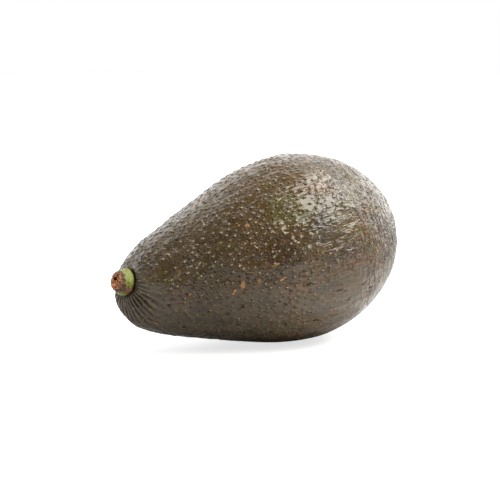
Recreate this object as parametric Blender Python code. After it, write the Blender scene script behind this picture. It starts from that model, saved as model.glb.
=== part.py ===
"""A whole ripe avocado lying on its side, with the stub of its stalk: two closed solids.

The fruit is a pear-shaped body turned about its own long axis, narrow end towards -X. Its skin is
covered in pebbles and gathers into pleats round the stalk, which sits off the axis in a round scar.
"""

import math

import bmesh
import bpy
import numpy as np
from mathutils import Matrix, Vector, noise

# Fruit, in metres. The taper is the share by which the radius departs from an ellipse's, as the
# coefficients of 1, t, t^2, t^3 and t^4, where t runs from -1 at the narrow end to 1.
LENGTH = 0.106
MID_RADIUS = 0.0312
TAPER = (1.0, 0.415, -0.14, -0.24, 0.24)
LUMP_HEIGHT = 0.0004
LUMP_SPACING = 0.026

# How it lies: the broad end stands higher, and the belly is pressed flat where it touches.
REST_TILT = math.radians(11.8)
FLAT_DEPTH = 0.0005
BELLY_FADE = 0.0035

# Pebbled skin. The pebbles are laid out on the unit sphere, and are about twice life size.
PEBBLES = 1070
PEBBLE_SPACING = math.sqrt(4 * math.pi / PEBBLES)
CROWN = 0.2 * PEBBLE_SPACING
SHAKE = 0.25 * PEBBLE_SPACING
EVENING_ROUNDS = 4
PEBBLE_HEIGHT = 0.0006
GROOVE_DEPTH = 0.0004
SEED = 7

# Stalk: where it leaves the fruit, as a share of the length and an angle round the axis from +Z
# towards the front, -Y, and its turned outline as (radius, height above the scar's rim).
STALK_T = -0.955
STALK_ANGLE = math.radians(36)
STALK_PROFILE = (
    (0.0, -0.0008),
    (0.0038, -0.0008),
    (0.0041, 0.0001),
    (0.0050, 0.0006),
    (0.0052, 0.0014),
    (0.0048, 0.0022),
    (0.0039, 0.0029),
    (0.0035, 0.0039),
    (0.0032, 0.0048),
    (0.0029, 0.0055),
    (0.0020, 0.0057),
    (0.0010, 0.0052),
    (0.0, 0.0052),
)
STALK_SIDES = 36
STALK_ROUGHNESS = 0.00022

# Scar that the stalk stands in, and the pleats round it
SCAR_RADIUS = 0.0045
SCAR_DEPTH = 0.0011
DIMPLE_DEPTH = 0.0015
DIMPLE_REACH = 0.0095
PLEATS = 24
PLEAT_HEIGHT = 0.00042
PLEAT_RINGS = 8
PLEAT_FIRST = 0.105
PLEAT_STEP = 0.044

# Blossom end: the small pit that the flower left
PIT_DEPTH = 0.0007
PIT_RADIUS = 0.0035

AXIS_SAMPLES = 600
GOLDEN_ANGLE = math.pi * (3.0 - math.sqrt(5.0))

COLOURS = {
    "skin": (0.075, 0.052, 0.034),
    "stalk": (0.30, 0.21, 0.07),
}


def smooth_step(low, high, value):
    share = min(1.0, max(0.0, (value - low) / (high - low)))
    return share * share * (3.0 - 2.0 * share)


def taper(t):
    return sum(share * t**power for power, share in enumerate(TAPER))


def taper_slope(t):
    return sum(power * share * t ** (power - 1) for power, share in enumerate(TAPER) if power)


def surface(t, angle):
    """The point and outward normal of the smooth body, at t along it and angle round from +Z."""
    sine = math.sqrt(max(0.0, 1.0 - t * t))
    radius = MID_RADIUS * sine * taper(t)
    fall = MID_RADIUS * (t * taper(t) - sine * sine * taper_slope(t))
    side, top = -math.sin(angle), math.cos(angle)
    rise = LENGTH / 2 * sine
    point = Vector((t * LENGTH / 2, radius * side, radius * top))
    return point, Vector((fall, rise * side, rise * top)).normalized()


def even_places():
    """Pairs (share, t): t along the fruit where this share of its skin lies towards -X."""
    t = -np.cos(np.linspace(0.0, math.pi, AXIS_SAMPLES))
    radius = MID_RADIUS * np.sqrt(np.maximum(0.0, 1.0 - t * t)) * taper(t)
    run = np.hypot(np.diff(t) * LENGTH / 2, np.diff(radius))
    skin = np.concatenate([[0.0], np.cumsum(run * (radius[1:] + radius[:-1]))])
    return skin / skin[-1], t


SKIN_SHARE, SKIN_T = even_places()


def from_sphere(direction):
    """Carries a direction from the unit sphere to (t, angle), so that even points stay even."""
    t = float(np.interp((direction.x + 1.0) / 2.0, SKIN_SHARE, SKIN_T))
    return t, math.atan2(-direction.y, direction.z)


def to_sphere(t, angle):
    height = 2.0 * float(np.interp(t, SKIN_T, SKIN_SHARE)) - 1.0
    girth = math.sqrt(1.0 - height * height)
    return Vector((height, -girth * math.sin(angle), girth * math.cos(angle)))


def stalk_frame():
    """The matrix whose origin is where the stalk leaves the smooth body, with Z outwards."""
    point, normal = surface(STALK_T, STALK_ANGLE)
    turn = normal.to_track_quat("Z", "Y")
    return Matrix.Translation(point) @ turn.to_matrix().to_4x4()


STALK_FRAME = stalk_frame()
STALK_DIRECTION = to_sphere(STALK_T, STALK_ANGLE)


def floor_height():
    """Height of the floor in the tilted fruit's frame, a little above its lowest point."""
    t = np.linspace(-1.0, 1.0, AXIS_SAMPLES)
    radius = MID_RADIUS * np.sqrt(1.0 - t * t) * taper(t)
    lowest = (t * LENGTH / 2 * math.sin(REST_TILT) - radius * math.cos(REST_TILT)).min()
    return float(lowest) + FLAT_DEPTH


TILT = Matrix.Rotation(-REST_TILT, 4, "Y")
FLOOR = floor_height()


def skin_over(directions):
    """A closed mesh of triangles on the unit sphere, through all the directions in their order."""
    mesh = bmesh.new()
    for direction in directions:
        mesh.verts.new(direction)
    bmesh.ops.convex_hull(mesh, input=mesh.verts[:])
    return mesh


def evened(spots):
    """Each spot moved to the middle of its neighbours, which evens out their spacing."""
    mesh = skin_over(spots)
    around = [[edge.other_vert(spot).co for edge in spot.link_edges] for spot in mesh.verts]
    moved = [sum(near, Vector()).normalized() for near in around]
    mesh.free()
    return moved


def pebble_middles(rng):
    """Directions of the pebbles: a spiral over the sphere, shaken and then partly evened out."""
    spots = []
    for i in range(PEBBLES):
        height = 1.0 - (2 * i + 1) / PEBBLES
        girth = math.sqrt(1.0 - height * height)
        turn = i * GOLDEN_ANGLE
        spot = Vector((height, girth * math.cos(turn), girth * math.sin(turn)))
        spots.append((spot + Vector(rng.normal(0.0, SHAKE, 3))).normalized())
    for _ in range(EVENING_ROUNDS):
        spots = evened(spots)
    edge = PLEAT_FIRST + PLEAT_STEP * (PLEAT_RINGS - 0.4)
    return [spot for spot in spots if spot.angle(STALK_DIRECTION) > edge]


def crown(middle, turn):
    """The three corners of a pebble's blunt top, turned about its middle."""
    aside = middle.orthogonal().normalized() * CROWN
    turns = [Matrix.Rotation(turn + math.tau * k / 3, 3, middle) for k in range(3)]
    return [(middle + spin @ aside).normalized() for spin in turns]


def grooves_between(middles):
    """A direction in the middle of each three neighbouring pebbles."""
    edge = PLEAT_FIRST + PLEAT_STEP * (PLEAT_RINGS - 0.2)
    mesh = skin_over(middles)
    grooves = [face.calc_center_median().normalized() for face in mesh.faces]
    mesh.free()
    return [groove for groove in grooves if groove.angle(STALK_DIRECTION) > edge]


def pleat_spots():
    """Rings round the stalk as (direction, relief), up on the ridges and down in the furrows."""
    across = STALK_DIRECTION.orthogonal().normalized()
    spots = [(STALK_DIRECTION.copy(), 0.0)]
    for ring in range(PLEAT_RINGS):
        away = PLEAT_FIRST + PLEAT_STEP * ring
        for k in range(2 * PLEATS):
            aside = Matrix.Rotation(math.pi * k / PLEATS, 3, STALK_DIRECTION) @ across
            spot = STALK_DIRECTION * math.cos(away) + aside * math.sin(away)
            spots.append((spot, PLEAT_HEIGHT if k % 2 else -PLEAT_HEIGHT))
    return spots


def lump(point):
    return LUMP_HEIGHT * noise.noise(point / LUMP_SPACING + Vector((SEED, 0.0, 0.0)))


def hollows(point, t):
    """Depth of the dimple round the stalk and of the pit at the blossom end."""
    off = STALK_FRAME.inverted() @ point
    from_stalk = math.hypot(off.x, off.y) / DIMPLE_REACH if off.z > -LENGTH / 4 else 9.0
    depth = DIMPLE_DEPTH * math.exp(-from_stalk * from_stalk)
    if t > 0.0:
        from_pit = math.hypot(point.y, point.z) / PIT_RADIUS
        depth += PIT_DEPTH * math.exp(-from_pit * from_pit)
    return depth


def raised(direction, relief):
    """The point of the skin over a direction of the sphere, with its relief."""
    t, angle = from_sphere(direction)
    point, normal = surface(t, angle)
    above = (TILT @ point).z - FLOOR
    relief *= smooth_step(0.0, BELLY_FADE, above)
    return point + normal * (relief + lump(point) - hollows(point, t))


def make_fruit():
    rng = np.random.default_rng(SEED)
    middles = pebble_middles(rng)
    spots = []
    for middle in middles:
        height = PEBBLE_HEIGHT * rng.uniform(0.5, 1.1)
        for corner in crown(middle, rng.uniform(0.0, math.tau)):
            spots.append((corner, height * rng.uniform(0.85, 1.0)))
    for groove in grooves_between(middles):
        spots.append((groove, -GROOVE_DEPTH * rng.uniform(0.6, 1.2)))
    spots += pleat_spots()

    mesh = skin_over([direction for direction, _ in spots])
    for vertex, (_, relief) in zip(mesh.verts, spots, strict=True):
        vertex.co = raised(vertex.co.normalized(), relief)
    bmesh.ops.recalc_face_normals(mesh, faces=mesh.faces[:])
    press_flat(mesh)
    return mesh_object("fruit", mesh, "skin")


def press_flat(mesh):
    """Cuts the belly off level at the floor, and closes it with one flat face."""
    up = TILT.inverted() @ Vector((0.0, 0.0, 1.0))
    cut = bmesh.ops.bisect_plane(
        mesh,
        geom=mesh.verts[:] + mesh.edges[:] + mesh.faces[:],
        dist=0.00002,
        plane_co=up * FLOOR,
        plane_no=up,
        clear_inner=True,
    )
    rim = [item for item in cut["geom_cut"] if isinstance(item, bmesh.types.BMEdge)]
    for vertex in {vertex for edge in rim for vertex in edge.verts}:
        vertex.co -= up * (vertex.co.dot(up) - FLOOR)
    bmesh.ops.contextual_create(mesh, geom=rim)
    bmesh.ops.recalc_face_normals(mesh, faces=mesh.faces[:])


def make_scar_cutter():
    """A round plug that cuts the flat-floored scar under the stalk."""
    height = 4 * SCAR_DEPTH
    mesh = bmesh.new()
    bmesh.ops.create_cone(
        mesh,
        cap_ends=True,
        segments=STALK_SIDES,
        radius1=SCAR_RADIUS,
        radius2=SCAR_RADIUS,
        depth=height,
    )
    middle = height / 2 - SCAR_DEPTH - DIMPLE_DEPTH
    bmesh.ops.translate(mesh, verts=mesh.verts[:], vec=(0.0, 0.0, middle))
    cutter = mesh_object("scar_cutter", mesh, None)
    cutter.matrix_world = STALK_FRAME
    cutter.hide_render = True
    cutter.display_type = "WIRE"
    return cutter


def make_stalk():
    """The stub: a turned outline, with its sides and its torn end made uneven."""
    mesh = bmesh.new()
    outline = [mesh.verts.new((radius, 0.0, height)) for radius, height in STALK_PROFILE]
    edges = [mesh.edges.new(pair) for pair in zip(outline, outline[1:])]
    bmesh.ops.spin(
        mesh,
        geom=outline + edges,
        cent=(0.0, 0.0, 0.0),
        axis=(0.0, 0.0, 1.0),
        angle=2 * math.pi,
        steps=STALK_SIDES,
        use_merge=True,
    )
    bmesh.ops.remove_doubles(mesh, verts=mesh.verts[:], dist=0.00001)
    bmesh.ops.recalc_face_normals(mesh, faces=mesh.faces[:])
    rim_height = STALK_PROFILE[2][1]
    for vertex in mesh.verts:
        free = smooth_step(rim_height, 0.0015, vertex.co.z)
        vertex.co *= 1.0 + 0.06 * free * noise.noise(vertex.co / 0.0035)
        vertex.co.z += STALK_ROUGHNESS * free * noise.noise(vertex.co / 0.0009)
    stalk = mesh_object("stalk", mesh, "stalk")
    stalk.matrix_world = STALK_FRAME @ Matrix.Translation((0.0, 0.0, -DIMPLE_DEPTH))
    return stalk


def material(name):
    made = bpy.data.materials.new(name)
    made.use_nodes = True
    shader = made.node_tree.nodes["Principled BSDF"]
    shader.inputs["Base Color"].default_value = (*COLOURS[name], 1.0)
    shader.inputs["Roughness"].default_value = 0.42 if name == "skin" else 0.75
    shader.inputs["Metallic"].default_value = 0.0
    made.diffuse_color = (*COLOURS[name], 1.0)
    return made


def mesh_object(name, mesh, finish):
    data = bpy.data.meshes.new(name)
    mesh.to_mesh(data)
    mesh.free()
    data.shade_smooth()
    data.set_sharp_from_angle(angle=math.radians(60))
    made = bpy.data.objects.new(name, data)
    if finish:
        data.materials.append(material(finish))
    return made


def collection(name):
    made = bpy.data.collections.new(name)
    bpy.context.scene.collection.children.link(made)
    return made


def lay_down(parts, holder):
    """Hangs the parts on the holder, tilts it to rest, and centres their box over the origin."""
    for part in parts:
        part.parent = holder
    holder.matrix_world = Matrix.Translation((0.0, 0.0, -FLOOR)) @ TILT
    bpy.context.view_layer.update()
    corners = [part.matrix_world @ vertex.co for part in parts for vertex in part.data.vertices]
    middle = [(min(c[i] for c in corners) + max(c[i] for c in corners)) / 2 for i in (0, 1)]
    holder.location.x -= middle[0]
    holder.location.y -= middle[1]


def main():
    for thing in list(bpy.data.objects):
        bpy.data.objects.remove(thing)
    avocado = collection("avocado")
    cutters = collection("cutters")
    fruit, stalk, cutter = make_fruit(), make_stalk(), make_scar_cutter()
    holder = bpy.data.objects.new("avocado_rest", None)
    for thing in (fruit, stalk, holder):
        avocado.objects.link(thing)
    cutters.objects.link(cutter)
    cutter.parent = fruit
    scar = fruit.modifiers.new("scar", "BOOLEAN")
    scar.operation = "DIFFERENCE"
    scar.object = cutter
    lay_down((fruit, stalk), holder)


main()
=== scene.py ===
"""The looks of a whole ripe avocado lying on its side, laid over its two solids.

The skin is one fine closed mesh with pebbles, folds and pleats in real relief. What is finer than
the mesh, such as creases and the pebbles' tips, comes from its material, which reads where each
point lies on its pebble, its pleat or its mark.
"""

import math

import bmesh
import bpy
import numpy as np
from mathutils import Matrix, Vector, noise
from mathutils.kdtree import KDTree


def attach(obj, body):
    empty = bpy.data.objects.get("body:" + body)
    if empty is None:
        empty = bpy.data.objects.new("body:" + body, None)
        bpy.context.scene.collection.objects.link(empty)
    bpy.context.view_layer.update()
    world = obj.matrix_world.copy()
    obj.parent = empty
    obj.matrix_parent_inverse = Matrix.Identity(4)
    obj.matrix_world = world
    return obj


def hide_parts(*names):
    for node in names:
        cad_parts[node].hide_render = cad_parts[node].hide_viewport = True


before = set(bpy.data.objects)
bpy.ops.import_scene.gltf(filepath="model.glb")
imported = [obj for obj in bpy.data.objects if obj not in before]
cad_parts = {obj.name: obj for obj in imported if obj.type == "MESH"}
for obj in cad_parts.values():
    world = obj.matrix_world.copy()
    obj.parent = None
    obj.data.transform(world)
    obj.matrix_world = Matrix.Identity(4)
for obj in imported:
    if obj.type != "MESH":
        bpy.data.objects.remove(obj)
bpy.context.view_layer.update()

MM = 0.001

# The body, as in the solids: a pear turned about its long axis, t from -1 at the stalk's end to 1,
# with a radius that tapers by a polynomial in t
LENGTH = 0.106
MID_RADIUS = 0.0312
TAPER = (1.0, 0.415, -0.14, -0.24, 0.24)
LUMP_HEIGHT = 0.4 * MM
LUMP_SPACING = 26 * MM
REST_TILT = math.radians(11.8)
FLAT_DEPTH = 0.5 * MM
BELLY_FADE = 3.5 * MM
REST_SHIFT = 1.46 * MM
AXIS_SAMPLES = 600
SEED = 7

# Fine mesh of the skin: cuts of each edge of an icosahedron, and how strongly and how far round the
# stalk its points are drawn together
SKIN_CUTS = 97
CROWDING = 0.6
CROWD_REACH = 0.45

# Pebbles at life size. A small share of them are dents instead. Each point of the skin is shaped by
# the few pebbles nearest to it.
PEBBLES = 3700
PEBBLE_SHAKE = 0.30
EVENING_ROUNDS = 2
PEBBLE_HEIGHT = 0.33 * MM
PEBBLE_REACH = 0.64 * MM
PEBBLE_STRETCH = 1.35
PEBBLE_LEAST = 0.25
PEBBLES_READ = 3
DENT_SHARE = 0.12
DENT_HEIGHT = -0.9

# The peel between the pebbles: height, spacing, seed and stretch of each run of waves, and the
# folds of the broad end
WAVES = (
    (0.34 * MM, 3.2 * MM, 5.0, 3.2),
    (0.55 * MM, 5.5 * MM, 8.0, 2.4),
)
FOLD_HEIGHT = 0.30 * MM
FOLD_SHIFT = 1.4 * MM

# Stalk, scar and pleats
STALK_T = -0.955
STALK_ANGLE = math.radians(36)
SCAR_RADIUS = 4.5 * MM
SCAR_DEPTH = 1.1 * MM
DIMPLE_DEPTH = 1.5 * MM
DIMPLE_REACH = 9.5 * MM
STUB_SQUEEZE = 0.6 * MM
PLEATS = 34
PLEAT_HEIGHT = 0.95 * MM
PLEAT_END = 19 * MM
PLEAT_FULL = 7 * MM
PLEAT_END_ABOVE = 10 * MM
PLEAT_WANDER = 0.10

# Blossom end
PIT_DEPTH = 0.7 * MM
PIT_RADIUS = 3.5 * MM

# Camera, fitted to the photograph's outline
FRAME_PIXELS = 500
PIXELS_PER_METRE = 2823.0
CAMERA_AZIMUTH = math.radians(-23.6)
CAMERA_ELEVATION = math.radians(10)
CAMERA_DISTANCE = 0.62
TARGET = Vector((0.0, 0.0, 0.033))
TARGET_PIXEL = (251.6, 250.3)
SENSOR = 36.0

# Floor: a wide disc that looks as white as the studio
FLOOR_RADIUS = 1.3
FLOOR_SIDES = 96
FLOOR_TONE = 0.50
FLOOR_GLOW = 0.69
FLOOR_ROUGHNESS = 0.7

# Pool of light on the floor beside the fruit: its middle, and its radius, in metres
POOL_MIDDLE = (0.08, -0.065)
POOL_RADIUS = 0.092
POOL_POWER = 25
POOL_SOFTNESS = 0.3
LAMP_HEIGHT = 0.6
LAMP_RADIUS = 0.02

WARM_WHITE = (1.0, 0.99, 0.93)
WHITE = (1.0, 1.0, 1.0, 1.0)

# Lit walls of the studio: azimuth, half width and top in degrees, brightness, and softness of the
# sides. The front that is left between them is darker.
WALLS = (
    (165, 80, 60, 2.0, 0.03),
    (113, 28, 50, 3.8, 0.02),
    (-84, 34, 46, 2.2, 0.07),
)
DARK_FRONT = 0.04
WALL_TOP_SOFTNESS = 0.08

# A pixel shows the nearest point of the skin within this distance of its line of sight. What lies
# further off that line counts as this many times as far.
SIGHT_RADIUS = 0.3 * MM
SIGHT_COST = 60

# Scars and specks that the photograph shows, and glints painted as pale streaks and a pale speck:
# the pixels where each mark starts and ends, then its radius in mm, its hue from 0, yellow-green,
# by way of rust to 1, pale, and whether it is a ring.
MARKS = {
    "ring_scar": (248, 225, 248, 225, 0.95, 0.55, 1),
    "scar_below_ring": (244, 232, 244, 232, 0.75, 0.60, 1),
    "scar_left_of_ring": (239, 225, 239, 225, 0.50, 0.50, 0),
    "low_ring_scar": (243, 284, 243, 286, 1.00, 0.50, 1),
    "low_scar": (258, 281, 259, 282, 0.60, 0.50, 0),
    "low_scar_left": (235, 291, 233, 295, 0.55, 0.52, 0),
    "groove_scar": (281, 281, 286, 278, 0.50, 0.50, 0),
    "middle_scar": (273, 266, 278, 264, 0.45, 0.52, 0),
    "neck_scar": (183, 293, 184, 293, 0.50, 0.50, 0),
    "neck_scar_right": (189, 295, 190, 295, 0.50, 0.50, 0),
    "belly_scar": (280, 317, 282, 316, 0.45, 0.50, 0),
    "belly_streak": (150, 319, 158, 325, 0.35, 0.50, 0),
    "edge_scratch": (194, 207, 209, 192, 0.50, 0.48, 0),
    # Painted glints: pale streaks where the peel shows white reflections
    "painted_glint_streak": (252, 243, 257, 248, 0.28, 0.95, 0),
    "upper_painted_glint_streak": (282, 229, 285, 233, 0.40, 0.95, 0),
    # A painted glint
    "painted_glint_speck": (190, 266, 191, 266, 0.45, 0.97, 0),
    "collar_speck": (133, 266, 134, 267, 0.55, 0.90, 0),
    "tan_pair": (201, 220, 204, 224, 0.40, 0.80, 0),
    "right_streak": (366, 211, 369, 211, 0.35, 0.50, 0),
    "green_speck": (198, 265, 199, 265, 0.50, 0.02, 0),
    "low_green_speck": (199, 278, 199, 279, 0.45, 0.02, 0),
}

# The marks are drawn at this share of those radii. A point without a mark counts as far away from
# one that is rusty and no ring.
MARK_SCALE = 0.68
NO_MARK = (99.0, 0.5, 0.0)

# Patches of colour that the photograph shows: the middle as its pixel, the radius in mm, and which
# of the three colours, 0 olive, 1 red-brown or 2 dark brown, it leans to.
PATCHES = {
    "olive_upper_middle": (276, 204, 8.5, 0),
    "olive_above": (262, 184, 6.0, 0),
    "red_brown_top": (299, 174, 6.5, 1),
    "red_brown_middle": (246, 262, 9.0, 1),
    "red_brown_neck": (188, 282, 6.0, 1),
    "dark_middle": (280, 250, 10.0, 2),
    "dark_low": (205, 296, 9.0, 2),
    "red_brown_low": (290, 258, 8.0, 1),
    "red_brown_right": (358, 236, 11.0, 1),
    "dark_right": (350, 250, 9.0, 2),
}


def smooth_step(low, high, value):
    share = np.clip((value - low) / (high - low), 0.0, 1.0)
    return share * share * (3.0 - 2.0 * share)


def unit(vectors):
    return vectors / np.linalg.norm(vectors, axis=-1, keepdims=True)


# The body


def taper(t):
    return sum(share * t**power for power, share in enumerate(TAPER))


def taper_slope(t):
    return sum(power * share * t ** (power - 1) for power, share in enumerate(TAPER) if power)


def body(t, angle):
    """Points, outward normals and lengthwise tangents of the smooth body, each (n, 3).

    The angle is 0 on top and a quarter turn at -Y.
    """
    sine = np.sqrt(np.maximum(1e-9, 1.0 - t * t))
    radius = MID_RADIUS * sine * taper(t)
    fall = MID_RADIUS * (t * taper(t) - sine * sine * taper_slope(t))
    side, top = -np.sin(angle), np.cos(angle)
    rise = LENGTH / 2 * sine
    points = np.stack([t * LENGTH / 2, radius * side, radius * top], axis=-1)
    normals = unit(np.stack([fall, rise * side, rise * top], axis=-1))
    tangents = unit(np.stack([rise, -fall * side, -fall * top], axis=-1))
    return points, normals, tangents


def even_places():
    t = -np.cos(np.linspace(0.0, math.pi, AXIS_SAMPLES))
    radius = MID_RADIUS * np.sqrt(np.maximum(0.0, 1.0 - t * t)) * taper(t)
    run = np.hypot(np.diff(t) * LENGTH / 2, np.diff(radius))
    skin = np.concatenate([[0.0], np.cumsum(run * (radius[1:] + radius[:-1]))])
    return skin / skin[-1], t


SKIN_SHARE, SKIN_T = even_places()


def from_sphere(directions):
    """(t, angle) for each direction of the unit sphere, so that even points stay even."""
    t = np.interp((directions[:, 0] + 1.0) / 2.0, SKIN_SHARE, SKIN_T)
    return t, np.arctan2(-directions[:, 1], directions[:, 2])


def to_sphere(t, angle):
    height = 2.0 * float(np.interp(t, SKIN_T, SKIN_SHARE)) - 1.0
    girth = math.sqrt(1.0 - height * height)
    return np.array([height, -girth * math.sin(angle), girth * math.cos(angle)])


def stalk_frame():
    """The matrix whose origin is where the stalk leaves the smooth body, with Z outwards."""
    points, normals, _ = body(np.array([STALK_T]), np.array([STALK_ANGLE]))
    turn = Vector(normals[0]).to_track_quat("Z", "Y")
    return Matrix.Translation(points[0]) @ turn.to_matrix().to_4x4()


def rest_matrix():
    """Lays the fruit's own frame down: tilted about Y, with the lowest point pressed flat."""
    t = np.linspace(-1.0, 1.0, AXIS_SAMPLES)
    radius = MID_RADIUS * np.sqrt(1.0 - t * t) * taper(t)
    lowest = (t * LENGTH / 2 * math.sin(REST_TILT) - radius * math.cos(REST_TILT)).min()
    lift = Matrix.Translation((REST_SHIFT, 0.0, -lowest - FLAT_DEPTH))
    return lift @ Matrix.Rotation(-REST_TILT, 4, "Y")


STALK_FRAME = stalk_frame()
STALK_DIRECTION = to_sphere(STALK_T, STALK_ANGLE)
REST = rest_matrix()


def moved(matrix, points):
    """Points carried by a 4x4 matrix."""
    m = np.array(matrix)
    return points @ m[:3, :3].T + m[:3, 3]


def wavy(points, spacing, seed, stretch=1.0):
    """Smooth noise from about -1 to 1, with features this far apart, drawn out along X."""
    scaled = points / spacing / np.array([stretch, 1.0, 1.0]) + np.array([seed, 2.0 * seed, 0.0])
    return np.array([noise.noise(point) for point in scaled])


def layered(points, layers):
    """The sum of layers of noise, each given as height, spacing, seed and perhaps stretch."""
    return sum(height * wavy(points, *pattern) for height, *pattern in layers)


# Marks placed by the photograph's pixels


def camera_axes():
    back = towards(CAMERA_AZIMUTH, CAMERA_ELEVATION)
    right = Vector((math.cos(CAMERA_AZIMUTH), math.sin(CAMERA_AZIMUTH), 0.0))
    return right, back.cross(right), back


def towards(azimuth, elevation):
    """Unit vector to a place round the fruit: azimuth 0 is at -Y, and a quarter turn at +X."""
    level = math.cos(elevation)
    return Vector((math.sin(azimuth) * level, -math.cos(azimuth) * level, math.sin(elevation)))


def seen_at(pixel, world):
    """The point of the skin that the camera sees at this pixel."""
    right, up, back = camera_axes()
    eye = TARGET + back * CAMERA_DISTANCE
    aim = right * (pixel[0] - TARGET_PIXEL[0]) - up * (pixel[1] - TARGET_PIXEL[1])
    ray = (aim / PIXELS_PER_METRE - back * CAMERA_DISTANCE).normalized()
    offsets = world - np.array(eye)
    depth = offsets @ np.array(ray)
    aside = np.linalg.norm(offsets - depth[:, None] * np.array(ray), axis=1)
    return world[np.argmin(depth + SIGHT_COST * np.maximum(0.0, aside - SIGHT_RADIUS))]


def mark_field(world):
    """How far each point is from its nearest mark, in radii, and that mark's hue and ring."""
    best = np.full((len(world), 3), NO_MARK)
    for x1, y1, x2, y2, radius, hue, ring in MARKS.values():
        start, end = seen_at((x1, y1), world), seen_at((x2, y2), world)
        run = end - start
        share = np.clip((world - start) @ run / max(1e-12, run @ run), 0.0, 1.0)
        aside = np.linalg.norm(world - start - share[:, None] * run, axis=1)
        far = aside / (radius * MARK_SCALE * MM)
        nearer = far < best[:, 0]
        own = np.stack([far, np.full_like(far, hue), np.full_like(far, ring)], axis=-1)
        best[nearer] = own[nearer]
    return best


def patch_field(world):
    """How strongly the olive, red-brown and dark patches colour each point."""
    shares = np.zeros((len(world), 3))
    for x, y, radius, colour in PATCHES.values():
        away = np.linalg.norm(world - seen_at((x, y), world), axis=1) / (radius * MM)
        shares[:, colour] = np.maximum(shares[:, colour], np.exp(-(away**2)))
    return shares


# Layout of the pebbles


def evened(spots):
    """Each direction moved to the middle of its neighbours, which evens out their spacing."""
    mesh = bmesh.new()
    for spot in spots:
        mesh.verts.new(spot)
    bmesh.ops.convex_hull(mesh, input=mesh.verts[:])
    around = [[edge.other_vert(spot).co for edge in spot.link_edges] for spot in mesh.verts]
    result = [sum(near, Vector()).normalized() for near in around]
    mesh.free()
    return result


def pebble_layout(rng):
    """Directions of the pebbles: a spiral over the sphere, shaken and then partly evened out."""
    golden_angle = math.pi * (3.0 - math.sqrt(5.0))
    spacing = math.sqrt(4 * math.pi / PEBBLES)
    spots = []
    for i in range(PEBBLES):
        height = 1.0 - (2 * i + 1) / PEBBLES
        girth = math.sqrt(1.0 - height * height)
        turn = i * golden_angle
        spot = Vector((height, girth * math.cos(turn), girth * math.sin(turn)))
        spots.append((spot + Vector(rng.normal(0.0, PEBBLE_SHAKE * spacing, 3))).normalized())
    for _ in range(EVENING_ROUNDS):
        spots = evened(spots)
    return np.array(spots)


class Pebbles:
    """Where each point of the skin lies on the pebbles nearest to it, and those pebbles' draws.

    The draws are the size, the hue, the dot's share and whether the pebble is a dent.
    """

    def __init__(self, points, tangents, normals, rng):
        t, angle = from_sphere(pebble_layout(rng))
        middles, _, _ = body(t, angle)
        tree = KDTree(len(middles))
        for i, middle in enumerate(middles):
            tree.insert(middle, i)
        tree.balance()
        across = np.cross(normals, tangents)
        found = np.array([[hit[1] for hit in tree.find_n(point, PEBBLES_READ)] for point in points])
        away = points[:, None, :] - middles[found]
        self.along = np.einsum("nkj,nj->nk", away, tangents)
        self.aside = np.einsum("nkj,nj->nk", away, across)
        self.reach = np.hypot(self.along, self.aside)
        self.draws = rng.random((len(middles), 4))[found]

    def relief(self):
        """Height of the pebbles, as blunt cones that run into each other."""
        stretch = self.along / PEBBLE_STRETCH
        far = np.hypot(stretch, self.aside) / PEBBLE_REACH
        height = PEBBLE_LEAST + self.draws[:, :, 0] ** 1.5
        height = np.where(self.draws[:, :, 3] > DENT_SHARE, height, DENT_HEIGHT)
        return PEBBLE_HEIGHT * (height * np.exp(-(far**2))).sum(axis=1)


# The skin


def sphere_directions(mesh):
    """Directions of the mesh's vertices, drawn together round the stalk."""
    spots = unit(np.array([vertex.co for vertex in mesh.verts]))
    away = np.arccos(np.clip(spots @ STALK_DIRECTION, -1.0, 1.0))[:, None]
    aside = spots - np.cos(away) * STALK_DIRECTION
    aside = aside / np.maximum(1e-9, np.linalg.norm(aside, axis=1, keepdims=True))
    near = away * (1.0 - CROWDING * np.exp(-((away / CROWD_REACH) ** 2)))
    return np.cos(near) * STALK_DIRECTION + np.sin(near) * aside


def crumple(points):
    """Soft folds of the broad end, 0 to about 1: rounded between thin creases."""
    warp = np.stack([wavy(points, 4 * MM, seed) for seed in (11.0, 12.0, 13.0)], axis=-1)
    bent = points + FOLD_SHIFT * warp
    folds = np.abs(wavy(bent, 4.8 * MM, seed=14.0, stretch=1.4))
    small = np.abs(wavy(bent, 2.6 * MM, seed=15.0, stretch=1.2))
    return folds**0.8 + 0.4 * small**0.8


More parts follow.
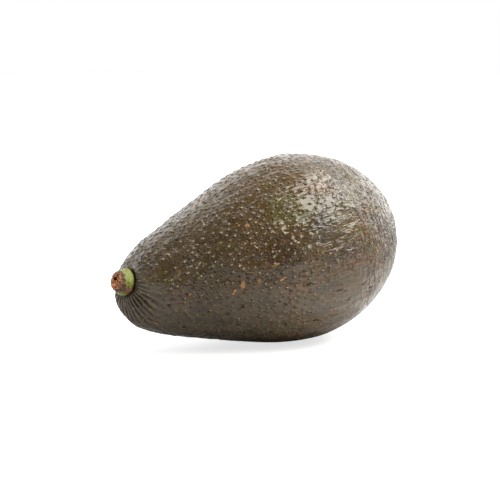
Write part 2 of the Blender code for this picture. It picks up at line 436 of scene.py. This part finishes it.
def make_skin():
    rng = np.random.default_rng(SEED)
    mesh = bmesh.new()
    bmesh.ops.create_icosphere(mesh, subdivisions=1, radius=1.0)
    bmesh.ops.subdivide_edges(mesh, edges=mesh.edges[:], cuts=SKIN_CUTS, use_grid_fill=True)
    t, angle = from_sphere(sphere_directions(mesh))
    points, normals, tangents = body(t, angle)
    pebbles = Pebbles(points, tangents, normals, rng)

    from_stalk = moved(STALK_FRAME.inverted(), points)
    aside = from_stalk[:, 0]
    stalk_reach = np.hypot(aside + STUB_SQUEEZE * smooth_step(0.0, 4 * MM, aside), from_stalk[:, 1])
    stalk_reach = np.where(from_stalk[:, 2] > -LENGTH / 4, stalk_reach, 1.0)
    world = moved(REST, points)
    facing = (normals @ np.array(REST.to_3x3()).T)[:, 2]
    low = smooth_step(0.1, -0.35, facing)
    upper = smooth_step(0.3, 0.8, facing)
    broad = smooth_step(0.06, 0.41, t - 0.2 * upper + 0.16 * wavy(points, 14 * MM, seed=3.0))
    flank = smooth_step(0.66, 0.40, facing) * smooth_step(-0.25, 0.05, facing) * broad
    above = smooth_step(-2 * MM, 5 * MM, from_stalk[:, 1])
    uneven = 3 * MM * wavy(points, 7 * MM, seed=4.0)
    reach = stalk_reach + uneven + (PLEAT_END - PLEAT_END_ABOVE) * above
    pleated = smooth_step(PLEAT_END, PLEAT_FULL, reach)

    # The fine relief: waves, pebbles, folds, and pleats that are strongest below the stalk
    waves = layered(points, WAVES)
    waves *= (1.0 - 0.55 * broad) * (1.0 - 0.4 * upper) * (1.0 - 0.4 * low)
    bumps = pebbles.relief() * (1.0 - 0.75 * pleated) * (1.0 - 0.75 * broad) * (1.0 - 0.6 * low)
    bumps *= 1.0 - 0.25 * upper
    folds = FOLD_HEIGHT * (crumple(points) - 0.5) * (0.1 + 0.9 * broad) * (1.0 - 0.8 * low)
    turn = np.arctan2(from_stalk[:, 1], from_stalk[:, 0])
    turn += PLEAT_WANDER * wavy(points, 6 * MM, seed=6.0)
    ridges = np.abs(np.cos(turn * PLEATS / 2))
    downward = 0.4 + 0.7 * smooth_step(-0.3, -0.9, np.sin(turn))
    strength = (0.9 + 0.4 * wavy(points, 5 * MM, seed=7.0)) * downward
    pleats = PLEAT_HEIGHT * (ridges - 0.5) * pleated * strength
    # The furrows between the pleats, which the material darkens as painted shade
    furrow = smooth_step(0.85, 0.40, ridges) * pleated * smooth_step(0.1, 0.7, strength)
    fine = bumps + folds + pleats + waves

    # The large relief: lumps, as in the solids, the dimple and the scar of the stalk, and the pit
    lumps = LUMP_HEIGHT * np.array([noise.noise(p) for p in points / LUMP_SPACING + [SEED, 0, 0]])
    dimple = DIMPLE_DEPTH * np.exp(-((stalk_reach / DIMPLE_REACH) ** 2))
    scar = SCAR_DEPTH * smooth_step(SCAR_RADIUS + 0.5 * MM, SCAR_RADIUS - 0.2 * MM, stalk_reach)
    from_axis = np.hypot(points[:, 1], points[:, 2])
    pit = np.where(t > 0, PIT_DEPTH * np.exp(-((from_axis / PIT_RADIUS) ** 2)), 0)

    fade = smooth_step(0.0, BELLY_FADE, world[:, 2])
    relief = fine * fade + lumps - dimple - scar - pit
    placed = moved(REST, points + normals * relief[:, None])
    placed[:, 2] = np.maximum(placed[:, 2], 0.0)

    skin = mesh_object("skin", mesh, placed)
    nearest = np.stack([pebbles.along[:, 0], pebbles.aside[:, 0], pebbles.reach[:, 0]], axis=-1)
    give(skin, "pebble", nearest / MM)
    give(skin, "draw", pebbles.draws[:, 0, :3])
    give(skin, "zone", np.stack([pleated, broad, low], axis=-1))
    give(skin, "form", np.stack([flank, furrow, stalk_reach / MM], axis=-1))
    give(skin, "own", points / MM)
    give(skin, "patch", patch_field(placed))
    give(skin, "mark", mark_field(placed))
    return skin


def mesh_object(name, mesh, coordinates):
    """An object from a bmesh, with its vertices put at these coordinates."""
    data = bpy.data.meshes.new(name)
    mesh.to_mesh(data)
    mesh.free()
    data.vertices.foreach_set("co", coordinates.ravel())
    data.shade_smooth()
    data.update()
    made = bpy.data.objects.new(name, data)
    bpy.context.scene.collection.objects.link(made)
    return made


def give(piece, name, values):
    """Stores three numbers on each vertex, for the material to read."""
    layer = piece.data.attributes.new(name, "FLOAT_VECTOR", "POINT")
    layer.data.foreach_set("vector", values.astype(np.float32).ravel())


# Materials


class Recipe:
    """A material's node tree, with a short call for each kind of node that it uses."""

    def __init__(self, name):
        self.material = bpy.data.materials.new(name)
        self.material.use_nodes = True
        self.tree = self.material.node_tree
        self.shader = self.tree.nodes["Principled BSDF"]

    def add(self, kind, inputs, out=0, **settings):
        node = self.tree.nodes.new(kind)
        for key, value in settings.items():
            setattr(node, key, value)
        for key, value in inputs.items():
            if isinstance(value, bpy.types.NodeSocket):
                self.tree.links.new(value, node.inputs[key])
            else:
                node.inputs[key].default_value = value
        return node.outputs[out]

    def attribute(self, name):
        return self.add("ShaderNodeAttribute", {}, out="Vector", attribute_name=name)

    def parts(self, vector):
        node = self.add("ShaderNodeSeparateXYZ", {0: vector}).node
        return node.outputs[0], node.outputs[1], node.outputs[2]

    def stretched(self, vector, amounts):
        return self.add("ShaderNodeMapping", {"Vector": vector, "Scale": amounts})

    def math(self, operation, first, second=0.0):
        return self.add("ShaderNodeMath", {0: first, 1: second}, operation=operation)

    def plus(self, first, second):
        return self.math("ADD", first, second)

    def minus(self, first, second):
        return self.math("SUBTRACT", first, second)

    def times(self, first, second):
        return self.math("MULTIPLY", first, second)

    def most(self, first, second):
        return self.math("MAXIMUM", first, second)

    def fading(self, share, amount):
        """1 where the share is 0, and less by this amount where it is 1."""
        return self.minus(1.0, self.times(share, amount))

    def noise(self, vector, scale, detail=3.0, roughness=0.55, distortion=0.0):
        inputs = {"Vector": vector, "Scale": scale, "Detail": detail, "Roughness": roughness}
        inputs["Distortion"] = distortion
        return self.add("ShaderNodeTexNoise", inputs)

    def voronoi(self, vector, scale, out="Distance"):
        return self.add("ShaderNodeTexVoronoi", {"Vector": vector, "Scale": scale}, out)

    def ramp(self, value, low, high, start=0.0, end=1.0):
        inputs = {"Value": value, "From Min": low, "From Max": high, "To Min": start, "To Max": end}
        return self.add("ShaderNodeMapRange", inputs, interpolation_type="SMOOTHSTEP")

    def mix(self, share, first, second, blend="MIX"):
        colours = [c if isinstance(c, bpy.types.NodeSocket) else (*c, 1.0) for c in (first, second)]
        inputs = {0: share, 6: colours[0], 7: colours[1]}
        return self.add("ShaderNodeMix", inputs, out=2, data_type="RGBA", blend_type=blend)

    def blend(self, share, first, second):
        return self.add("ShaderNodeMix", {0: share, 2: first, 3: second}, data_type="FLOAT")

    def length(self, first, second):
        squares = self.plus(self.math("POWER", first, 2.0), self.math("POWER", second, 2.0))
        return self.math("SQRT", squares)

    def bump(self, height):
        """The normal of a relief whose height is given in mm."""
        return self.add("ShaderNodeBump", {"Height": height, "Distance": MM, "Strength": 1.0})

    def use(self, **inputs):
        """Sets the shader's own sockets: links, or plain values."""
        for key, value in inputs.items():
            socket = self.shader.inputs[key.replace("_", " ")]
            if isinstance(value, bpy.types.NodeSocket):
                self.tree.links.new(value, socket)
            else:
                socket.default_value = value


# Colours of the peel, as linear red, green and blue
BROWN = (0.062, 0.036, 0.012)
# Painted shade, for the hollows, furrows, dents, creases and the gap round the collar
PAINTED_SHADE_BROWN = (0.020, 0.014, 0.005)
OLIVE = (0.064, 0.049, 0.012)
GREY_BROWN = (0.053, 0.039, 0.025)
RED_BROWN = (0.082, 0.034, 0.010)
DEEP_BROWN = (0.031, 0.018, 0.007)
# Painted sheen on the pleats' ridges
RIDGE_SHEEN_GREY = (0.105, 0.088, 0.070)
GRAIN_DARK = (0.5, 0.5, 0.5)
GRAIN_LIGHT = (1.45, 1.45, 1.45)

# Colours of the dots, specks, marks and pebble tips
YELLOW_GREEN = (0.22, 0.21, 0.04)
TAN = (0.24, 0.165, 0.058)
RUST = (0.31, 0.130, 0.032)
TIP_BROWN = (0.165, 0.105, 0.042)
# Pale cork, and on the palest dots and the pale marks a painted glint
PALE_CORK_AND_GLINT = (0.36, 0.31, 0.23)

# Colours of the stalk: its green, its bark, the dry part of the collar and the torn wood
GREEN_DARK = (0.078, 0.090, 0.006)
GREEN_LIGHT = (0.245, 0.268, 0.024)
GREEN_BLOTCH = (0.11, 0.12, 0.008)
BARK_DARK = (0.022, 0.014, 0.009)
BARK_GREY = (0.115, 0.080, 0.058)
BARK_RUST = (0.32, 0.12, 0.05)
DRY_BEIGE = (0.48, 0.40, 0.32)
DRY_BROWN = (0.20, 0.145, 0.10)
WOOD_DARK = (0.30, 0.095, 0.028)
WOOD_LIGHT = (0.80, 0.35, 0.14)
WOOD_BLOTCH = (0.20, 0.075, 0.025)
# Painted shade in the torn wood's pits and hole
WOOD_PIT_SHADE = (0.02, 0.010, 0.006)

# Finest relief, by bump, in mm
TIP_RISE = 0.37
HOLLOW_DEPTH = 0.22
CREASE_DEPTH = 0.075
WRINKLE_RISE = 1.6
RING_RISE = 1.3
DENT_DEPTH = 0.13
SCAR_RISE = 0.12
GRAIN_RISE = 0.02
BARK_RISE = 0.3

# Gloss: roughness, from its least to its most on the bare peel, and specular level
PEEL_ROUGHNESS = (0.11, 0.18)
CORK_ROUGHNESS = 0.36
DULL_ROUGHNESS = 0.7
BARK_ROUGHNESS = 0.85
GREEN_ROUGHNESS = 0.42
PEEL_SPECULAR = 0.5
DULL_SPECULAR = 0.07

# Radius of the painted shade in the gap round the collar, in mm, and the number of small specks
# along a mm
COLLAR_SHADE_RADIUS = 5.0
SPECKS_PER_MM = 0.60


def skin_colour(r, own, nose, broad, painted_shade):
    """The peel's colour: brown, olive and red-brown, with painted sheen at the ends and painted
    shade in hollows.
    """
    olive, red, dark = r.parts(r.attribute("patch"))
    olive = r.plus(olive, r.times(broad, 0.10))
    streaks = r.stretched(own, (0.25, 1.0, 1.0))
    redder = r.noise(streaks, 0.13, detail=5.0, distortion=0.6)
    redder = r.plus(redder, r.times(red, 0.13))
    colour = r.mix(r.ramp(redder, 0.52, 0.74), BROWN, RED_BROWN)
    colour = r.mix(r.ramp(r.noise(own, 0.030), 0.54, 0.66), colour, GREY_BROWN)
    # Painted sheen: greyer towards both ends, standing in for the pale reflection there
    stalk_end_sheen = r.ramp(nose, 5.0, -25.0, 0.0, 0.6)
    blossom_end_sheen = r.ramp(nose, 30.0, 46.0, 0.0, 0.7)
    colour = r.mix(r.most(stalk_end_sheen, blossom_end_sheen), colour, GREY_BROWN)
    green = r.plus(r.noise(own, 0.05, detail=4.0), r.times(olive, 0.20))
    broken = r.times(r.noise(streaks, 0.35, detail=4.0, roughness=0.65), 0.35)
    colour = r.mix(r.ramp(r.plus(green, broken), 0.73, 0.86), colour, OLIVE)
    deeper = r.plus(r.noise(streaks, 0.22, detail=4.0), r.times(dark, 0.16))
    colour = r.mix(r.ramp(deeper, 0.50, 0.72, 0.0, 0.8), colour, DEEP_BROWN)
    grain = r.noise(streaks, 1.1, detail=4.0, roughness=0.65)
    shade = r.mix(r.ramp(grain, 0.3, 0.7), GRAIN_DARK, GRAIN_LIGHT)
    colour = r.mix(0.6, colour, shade, blend="MULTIPLY")
    # Painted shade: darker in the hollows, furrows, dents and creases
    return r.mix(painted_shade, colour, PAINTED_SHADE_BROWN)


def pebble_parts(r, own, nose, broad, low):
    """The nearest pebble's blunt tip, the hollow beside it, its corky dot and the dot's colour."""
    along, aside, reach = r.parts(r.attribute("pebble"))
    size, hue, share = r.parts(r.attribute("draw"))
    uneven = r.noise(own, 0.9, detail=2.0)
    inside = r.ramp(reach, 1.15, 0.90)
    tall = r.ramp(size, 0.2, 1.0, 0.2, 1.0)
    far = r.length(along, aside)
    tip = r.times(r.ramp(far, 0.70, 0.06), r.times(inside, tall))
    # A real dip on the stalk's side of each pebble, which the skin's material also darkens as
    # painted shade
    behind = r.times(r.plus(along, 0.62), 0.48)
    beside = r.length(behind, r.times(r.plus(aside, 0.28), 1.35))
    beside = r.plus(beside, r.ramp(uneven, 0.3, 0.7, -0.14, 0.10))
    deep = r.ramp(r.math("FRACT", r.times(hue, 7.0)), 0.0, 0.6, 0.45, 1.0)
    hollow = r.times(r.ramp(beside, 0.62, 0.24), r.times(inside, deep))
    hollow = r.times(hollow, r.fading(tip, 0.8))
    edge = r.minus(far, r.ramp(share, 0.2, 1.0, 0.04, 0.24))
    dot = r.times(r.ramp(edge, 0.12, -0.10), inside)
    fewer = r.plus(r.times(broad, 0.42), r.times(low, 0.2))
    dot = r.times(dot, r.math("GREATER_THAN", share, r.plus(fewer, 0.40)))
    hue = r.plus(hue, r.ramp(nose, -12.0, -34.0, 0.0, -0.12))
    colour = r.mix(r.ramp(hue, 0.09, 0.12), YELLOW_GREEN, TAN)
    colour = r.mix(r.ramp(hue, 0.62, 0.66), colour, RUST)
    # The palest dots: pale cork and painted glints
    colour = r.mix(r.ramp(hue, 0.90, 0.92), colour, PALE_CORK_AND_GLINT)
    return tip, hollow, dot, colour


def scars(r, own):
    """The marks: how far they cover the peel, and their colour."""
    far, hue, ring = r.parts(r.attribute("mark"))
    ragged = r.plus(far, r.times(r.noise(own, 2.2), 1.6))
    cover = r.ramp(ragged, 2.1, 1.5)
    hollow = r.times(r.ramp(ragged, 1.5, 1.1), r.times(ring, 0.75))
    colour = r.mix(r.ramp(hue, 0.2, 0.4), YELLOW_GREEN, RUST)
    # Pale marks: pale cork, and painted glints on the pale streaks and speck
    colour = r.mix(r.ramp(hue, 0.7, 0.85), colour, PALE_CORK_AND_GLINT)
    colour = r.mix(hollow, colour, TIP_BROWN)
    return cover, colour


def small_specks(r, own):
    """Fine corky specks, strewn between the pebbles."""
    cells = r.voronoi(own, SPECKS_PER_MM)
    size, hue, _ = r.parts(r.voronoi(own, SPECKS_PER_MM, out="Color"))
    edge = r.minus(cells, r.ramp(size, 0.4, 1.0, 0.03, 0.15))
    cover = r.times(r.ramp(edge, 0.03, -0.03), r.ramp(size, 0.4, 0.42))
    return cover, r.mix(r.ramp(hue, 0.40, 0.55), TAN, RUST)


def skin_material():
    r = Recipe("skin")
    own = r.attribute("own")
    pleated, broad, low = r.parts(r.attribute("zone"))
    flank, furrow, stalk_reach = r.parts(r.attribute("form"))
    nose, _, _ = r.parts(own)
    tip, hollow, dot, dot_colour = pebble_parts(r, own, nose, broad, low)
    scar, scar_colour = scars(r, own)
    speck, speck_colour = small_specks(r, own)
    fleck = r.ramp(r.noise(own, 2.6, detail=2.0), 0.3, 0.55, 0.45, 1.0)

    # Creases, dents and grooves: long wrinkles on the flank, and rings round the blossom end
    cells = r.noise(r.stretched(own, (0.65, 1.0, 1.0)), 0.31, detail=2.0, distortion=0.8)
    wrinkles = r.noise(r.stretched(own, (0.2, 1.0, 1.0)), 0.62, detail=2.5, distortion=0.3)
    rings = r.noise(r.stretched(own, (1.0, 0.25, 0.25)), 0.62, detail=2.5, distortion=0.8)
    end = r.ramp(nose, 20.0, 34.0)
    lines = r.math("ABSOLUTE", r.minus(r.blend(flank, cells, wrinkles), 0.5))
    crease = r.times(r.ramp(lines, 0.034, 0.0), r.ramp(low, 0.0, 1.0, 1.0, 0.5))
    crease = r.times(crease, r.ramp(broad, 0.0, 1.0, 0.15, 1.0))
    dent = r.ramp(r.noise(r.stretched(own, (0.32, 1.0, 1.0)), 0.65, detail=2.0), 0.35, 0.30)
    dent = r.times(dent, r.ramp(low, 0.0, 1.0, 0.2, 1.0))
    pitted = r.noise(own, 1.7, detail=4.0, roughness=0.6)
    grooves = r.noise(r.stretched(own, (0.14, 1.0, 1.0)), 0.8, detail=2.5)
    grooves = r.times(grooves, r.ramp(r.most(broad, low), 0.0, 0.8, 0.35, 0.08))

    # Painted shade: what lies deep is darkened in colour, and is dull
    plain = r.times(r.fading(broad, 0.7), r.fading(pleated, 0.8))
    plain = r.times(plain, r.fading(low, 0.5))
    tip = r.times(tip, plain)
    hollow = r.times(hollow, plain)
    # Painted shade in the gap round the collar
    deepest = r.most(furrow, r.ramp(stalk_reach, COLLAR_SHADE_RADIUS + 1.0, COLLAR_SHADE_RADIUS))
    deepest = r.most(deepest, r.most(dent, hollow))
    dull = r.most(deepest, crease)
    # Painted shade: furrows, the gap round the collar, dents, hollows and creases darken the colour
    painted_shade = r.most(r.times(deepest, 0.85), r.times(crease, 0.45))

    colour = skin_colour(r, own, nose, broad, painted_shade)
    # Painted sheen: the pleats' ridges turn lighter grey away from the furrows
    ridge_sheen = r.times(pleated, r.minus(0.6, r.times(furrow, 1.2)))
    colour = r.mix(ridge_sheen, colour, RIDGE_SHEEN_GREY)
    colour = r.mix(r.times(tip, 0.6), colour, TIP_BROWN)
    colour = r.mix(r.times(speck, 0.8), colour, speck_colour)
    colour = r.mix(r.times(dot, fleck), colour, dot_colour)
    colour = r.mix(r.times(scar, fleck), colour, scar_colour)

    rise = r.minus(r.times(tip, TIP_RISE), r.times(hollow, HOLLOW_DEPTH))
    rise = r.minus(rise, r.times(crease, CREASE_DEPTH))
    along = r.times(r.times(wrinkles, flank), r.minus(1.0, end))
    around = r.times(r.times(rings, end), RING_RISE)
    rise = r.plus(rise, r.plus(r.times(along, WRINKLE_RISE), around))
    rise = r.minus(rise, r.times(dent, DENT_DEPTH))
    rise = r.plus(rise, r.times(scar, SCAR_RISE))
    rise = r.plus(rise, r.plus(r.times(pitted, GRAIN_RISE), grooves))

    rough = r.ramp(pitted, 0.3, 0.7, *PEEL_ROUGHNESS)
    corky = r.most(dot, r.most(speck, scar))
    rough = r.blend(r.times(corky, 0.25), rough, CORK_ROUGHNESS)
    rough = r.blend(dull, rough, DULL_ROUGHNESS)
    gloss = r.blend(dull, PEEL_SPECULAR, DULL_SPECULAR)
    r.use(Base_Color=colour, Roughness=rough, Specular_IOR_Level=gloss, Normal=r.bump(rise))
    return r.material


def stalk_material():
    r = Recipe("stalk")
    spot = r.attribute("spot")
    green, torn, pale = r.parts(r.attribute("kind"))
    relief, rust, _ = r.parts(r.attribute("depth"))
    grain = r.noise(spot, 2.2, detail=5.0, roughness=0.65)
    blotch = r.noise(spot, 0.9, detail=4.0, roughness=0.6)
    fresh = r.mix(r.ramp(grain, 0.36, 0.64), GREEN_DARK, GREEN_LIGHT)
    fresh = r.mix(r.ramp(blotch, 0.4, 0.66, 0.0, 0.6), fresh, GREEN_BLOTCH)
    crust = r.mix(r.ramp(grain, 0.35, 0.65), BARK_DARK, BARK_GREY)
    crust = r.mix(r.times(rust, r.ramp(grain, 0.45, 0.6)), crust, BARK_RUST)
    dry = r.mix(r.ramp(blotch, 0.42, 0.58), DRY_BEIGE, DRY_BROWN)
    crust = r.mix(r.times(pale, r.ramp(grain, 0.3, 0.55, 0.35, 1.0)), crust, dry)
    wood = r.mix(r.ramp(grain, 0.32, 0.68), WOOD_DARK, WOOD_LIGHT)
    wood = r.mix(r.ramp(blotch, 0.5, 0.64, 0.0, 0.8), wood, WOOD_BLOTCH)
    # Painted shade: the torn wood darkens where its relief sinks deepest
    wood = r.mix(r.ramp(relief, -0.3, -0.75), wood, WOOD_PIT_SHADE)
    colour = r.mix(torn, r.mix(green, crust, fresh), wood)
    rough = r.blend(green, BARK_ROUGHNESS, GREEN_ROUGHNESS)
    r.use(Base_Color=colour, Roughness=rough, Normal=r.bump(r.times(grain, BARK_RISE)))
    return r.material


# The stalk's stub

# Turned outline, as (radius, height above the scar's rim) in mm
STUB_OUTLINE = (
    (0.0, -0.8),
    (3.8, -0.8),
    (4.0, 0.1),
    (4.4, 0.6),
    (4.8, 1.4),
    (4.6, 2.2),
    (3.9, 2.9),
    (3.5, 3.9),
    (3.2, 4.8),
    (2.9, 5.5),
    (2.0, 5.7),
    (1.0, 5.4),
    (0.0, 5.3),
)
STUB_RINGS = 90
STUB_ROUNDING = 6
STUB_SIDES = 128

# Relief of the stub, in mm. Each layer has its height, spacing and seed.
SWELL_HEIGHT = 0.16
RIB_HEIGHT = 0.22
GRAINS = ((0.07, 0.7, 26.0), (0.05, 0.35, 27.0))
CRUMBS = ((0.55, 0.9, 24.0), (0.34, 0.45, 25.0))
CRUMB_DEPTH = 0.42
HOLE_MIDDLE = (-0.9, 0.7)
HOLE_RADIUS = 0.45
HOLE_DEPTH = 1.1

# The edges of the stub's colours are ragged by these layers
RAGGED = ((0.8, 1.3, 28.0), (0.4, 0.5, 29.0))

# Where the collar is still green: beyond this distance in one direction across the stub, and in two
# patches, each with its middle and its radius
GREEN_TOWARDS = math.radians(36)
GREEN_FROM = 2.2
GREEN_EDGE = 0.15
GREEN_PATCHES = ((-1.7, -4.2, 0.9), (1.6, -4.2, 1.0))


def stub_rings():
    """The outline resampled evenly and rounded, as (radius, height) rows in mm."""
    outline = np.array(STUB_OUTLINE)
    run = np.concatenate([[0.0], np.cumsum(np.linalg.norm(np.diff(outline, axis=0), axis=1))])
    places = np.linspace(0.0, run[-1], STUB_RINGS)
    rings = np.stack([np.interp(places, run, outline[:, i]) for i in (0, 1)], axis=-1)
    for _ in range(STUB_ROUNDING):
        rings[1:-1] = (rings[:-2] + 2 * rings[1:-1] + rings[2:]) / 4
    return rings


def stub_mesh():
    """The outline turned about the stalk's own axis, from its foot to its head."""
    turns = [2 * math.pi * side / STUB_SIDES for side in range(STUB_SIDES)]
    circle = [(math.cos(turn), math.sin(turn)) for turn in turns]
    rings = stub_rings()
    mesh = bmesh.new()
    foot, head = (mesh.verts.new((0.0, 0.0, rings[end][1])) for end in (0, -1))
    rows = [
        [mesh.verts.new((radius * x, radius * y, height)) for x, y in circle]
        for radius, height in rings[1:-1]
    ]
    for i in range(STUB_SIDES):
        j = (i + 1) % STUB_SIDES
        mesh.faces.new((foot, rows[0][j], rows[0][i]))
        mesh.faces.new((head, rows[-1][i], rows[-1][j]))
        for low, high in zip(rows, rows[1:]):
            mesh.faces.new((low[i], low[j], high[j], high[i]))
    mesh.normal_update()
    return mesh


def green_share(side, up, height, ragged):
    """How green each point of the collar is."""
    leaning = side * math.cos(GREEN_TOWARDS) + up * math.sin(GREEN_TOWARDS)
    green = smooth_step(GREEN_FROM - GREEN_EDGE, GREEN_FROM + GREEN_EDGE, leaning + ragged)
    green *= smooth_step(4.3, 3.9, height + 0.6 * ragged)
    green *= smooth_step(0.8, 1.1, height + 0.3 * ragged + 0.25 * up)
    for x, y, size in GREEN_PATCHES:
        away = np.hypot(side - x, up - y) / size + 0.4 * ragged
        green = np.maximum(green, smooth_step(1.1, 0.8, away))
    return green


def make_stub():
    mesh = stub_mesh()
    spots = np.array([vertex.co for vertex in mesh.verts])
    normals = np.array([vertex.normal for vertex in mesh.verts])
    side, up, height = spots.T
    radius = np.hypot(side, up)
    free = smooth_step(0.3, 1.2, height)
    bark = smooth_step(2.0, 2.8, height)
    torn = smooth_step(4.7, 5.3, height + 0.5 * wavy(spots, 1.1, seed=21.0))
    torn *= smooth_step(3.4, 2.7, radius)

    swell = SWELL_HEIGHT * wavy(spots, 3.2, seed=22.0)
    upright = np.abs(wavy(spots * [1.0, 1.0, 0.35], 1.1, seed=23.0))
    ribs = RIB_HEIGHT * (1.0 - upright * 2.2)
    crumbs = layered(spots, CRUMBS) - CRUMB_DEPTH
    relief = swell * free + ribs * bark * (1.0 - torn) + crumbs * torn
    relief += layered(spots, GRAINS) * free
    hole = np.hypot(side - HOLE_MIDDLE[0], up - HOLE_MIDDLE[1]) / HOLE_RADIUS
    relief -= HOLE_DEPTH * np.exp(-(hole**2)) * smooth_step(4.5, 5.2, height)

    ragged = layered(spots, RAGGED)
    green = green_share(side, up, height, ragged)
    pale = smooth_step(3.4, 4.0, radius + 0.4 * ragged)
    pale *= smooth_step(0.0, 0.9, 0.3 * abs(up) - side + ragged - 0.6)
    rust = smooth_step(3.2, 4.8, side - 0.6 * up + ragged)
    placed = spots + normals * relief[:, None]
    placed[:, 0] -= STUB_SQUEEZE / MM * smooth_step(0.0, 4.0, side) * smooth_step(3.5, 1.5, height)

    seat = REST @ STALK_FRAME @ Matrix.Translation((0.0, 0.0, -DIMPLE_DEPTH))
    stub = mesh_object("stub", mesh, moved(seat, placed * MM))
    give(stub, "spot", placed)
    give(stub, "kind", np.stack([green, torn, pale], axis=-1))
    give(stub, "depth", np.stack([relief, rust, np.zeros_like(rust)], axis=-1))
    return stub


# Stage, lights and camera


def make_floor():
    mesh = bmesh.new()
    bmesh.ops.create_circle(mesh, cap_ends=True, segments=FLOOR_SIDES, radius=FLOOR_RADIUS)
    floor = mesh_object("floor", mesh, np.array([vertex.co for vertex in mesh.verts]))
    r = Recipe("floor")
    rays = r.tree.nodes.new("ShaderNodeLightPath")
    glow = r.times(rays.outputs["Is Camera Ray"], FLOOR_GLOW)
    r.use(Base_Color=(FLOOR_TONE, FLOOR_TONE, FLOOR_TONE, 1.0), Roughness=FLOOR_ROUGHNESS)
    r.use(Emission_Color=WHITE, Emission_Strength=glow)
    floor.data.materials.append(r.material)
    return floor


def light_pool(floor):
    """A flagged lamp above the floor beside the fruit, which lights the floor alone."""
    light = bpy.data.lights.new("pool", "SPOT")
    light.energy = POOL_POWER
    light.spot_size = 2 * math.atan(POOL_RADIUS / LAMP_HEIGHT)
    light.spot_blend = POOL_SOFTNESS
    light.shadow_soft_size = LAMP_RADIUS
    lamp = bpy.data.objects.new("pool", light)
    lamp.location = (*POOL_MIDDLE, LAMP_HEIGHT)
    bpy.context.scene.collection.objects.link(lamp)
    lit = bpy.data.collections.new("lit_by_pool")
    lit.objects.link(floor)
    lamp.light_linking.receiver_collection = lit


def soft_box(name, azimuth, elevation, distance, width, height, power):
    """A warm white panel in this direction, in degrees, turned to the fruit."""
    light = bpy.data.lights.new(name, "AREA")
    light.shape = "RECTANGLE"
    light.size, light.size_y = width, height
    light.energy = power
    light.color = WARM_WHITE
    lamp = bpy.data.objects.new(name, light)
    aim = towards(math.radians(azimuth), math.radians(elevation))
    lamp.location = TARGET + aim * distance
    lamp.rotation_mode = "QUATERNION"
    lamp.rotation_quaternion = aim.to_track_quat("Z", "Y")
    bpy.context.scene.collection.objects.link(lamp)


def wall(tree, direction, azimuth, half_width, top, strength, soft):
    """Brightness of a lit wall round this azimuth and up to this top. Its angles are in degrees."""
    facing = tree.nodes.new("ShaderNodeVectorMath")
    facing.operation = "DOT_PRODUCT"
    facing.inputs[1].default_value = towards(math.radians(azimuth), 0.0)
    tree.links.new(direction, facing.inputs[0])
    height = tree.nodes.new("ShaderNodeSeparateXYZ")
    tree.links.new(direction, height.inputs[0])
    side = math.cos(math.radians(half_width))
    edge = math.sin(math.radians(top))
    shares = []
    for value, outside, inside in (
        (facing.outputs["Value"], side - soft, side + soft),
        (height.outputs[2], edge + WALL_TOP_SOFTNESS, edge - WALL_TOP_SOFTNESS),
    ):
        share = tree.nodes.new("ShaderNodeMapRange")
        share.interpolation_type = "SMOOTHSTEP"
        share.inputs["From Min"].default_value = outside
        share.inputs["From Max"].default_value = inside
        tree.links.new(value, share.inputs["Value"])
        shares.append(share)
    shares[1].inputs["To Max"].default_value = strength
    both = tree.nodes.new("ShaderNodeMath")
    both.operation = "MULTIPLY"
    for i, share in enumerate(shares):
        tree.links.new(share.outputs[0], both.inputs[i])
    return both.outputs[0]


def make_world():
    """A pale studio: white to the eye, with lit walls behind and beside and a darker front."""
    world = bpy.data.worlds.new("studio")
    bpy.context.scene.world = world
    world.use_nodes = True
    tree = world.node_tree
    direction = tree.nodes.new("ShaderNodeTexCoord").outputs["Generated"]
    light = None
    for values in WALLS:
        lit = wall(tree, direction, *values)
        brighter = tree.nodes.new("ShaderNodeMath")
        brighter.operation = "MAXIMUM"
        tree.links.new(lit, brighter.inputs[0])
        if light is None:
            brighter.inputs[1].default_value = DARK_FRONT
        else:
            tree.links.new(light, brighter.inputs[1])
        light = brighter.outputs[0]
    rays = tree.nodes.new("ShaderNodeLightPath")
    seen = tree.nodes.new("ShaderNodeMix")
    tree.links.new(rays.outputs["Is Camera Ray"], seen.inputs[0])
    tree.links.new(light, seen.inputs[2])
    seen.inputs[3].default_value = 1.0
    tree.links.new(seen.outputs[0], tree.nodes["Background"].inputs["Strength"])
    tree.nodes["Background"].inputs["Color"].default_value = WHITE


def make_camera():
    _, _, back = camera_axes()
    camera = bpy.data.cameras.new("camera")
    camera.sensor_width = SENSOR
    camera.lens = SENSOR * CAMERA_DISTANCE * PIXELS_PER_METRE / FRAME_PIXELS
    camera.shift_x = (FRAME_PIXELS / 2 - TARGET_PIXEL[0]) / FRAME_PIXELS
    camera.shift_y = (TARGET_PIXEL[1] - FRAME_PIXELS / 2) / FRAME_PIXELS
    camera.clip_start, camera.clip_end = 0.01, 20.0
    holder = bpy.data.objects.new("camera", camera)
    holder.location = TARGET + back * CAMERA_DISTANCE
    holder.rotation_mode = "QUATERNION"
    holder.rotation_quaternion = (-back).to_track_quat("-Z", "Y")
    bpy.context.scene.collection.objects.link(holder)
    bpy.context.scene.camera = holder


skin = make_skin()
skin.data.materials.append(skin_material())
stub = make_stub()
stub.data.materials.append(stalk_material())
for piece, node, slot in ((skin, "fruit", "skin"), (stub, "stalk", "stalk")):
    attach(piece, "root")
    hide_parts(node)

floor = make_floor()
light_pool(floor)
soft_box("key", azimuth=51, elevation=55, distance=0.45, width=0.52, height=0.37, power=5.8)
make_world()
make_camera()
bpy.context.scene.view_settings.view_transform = "Standard"
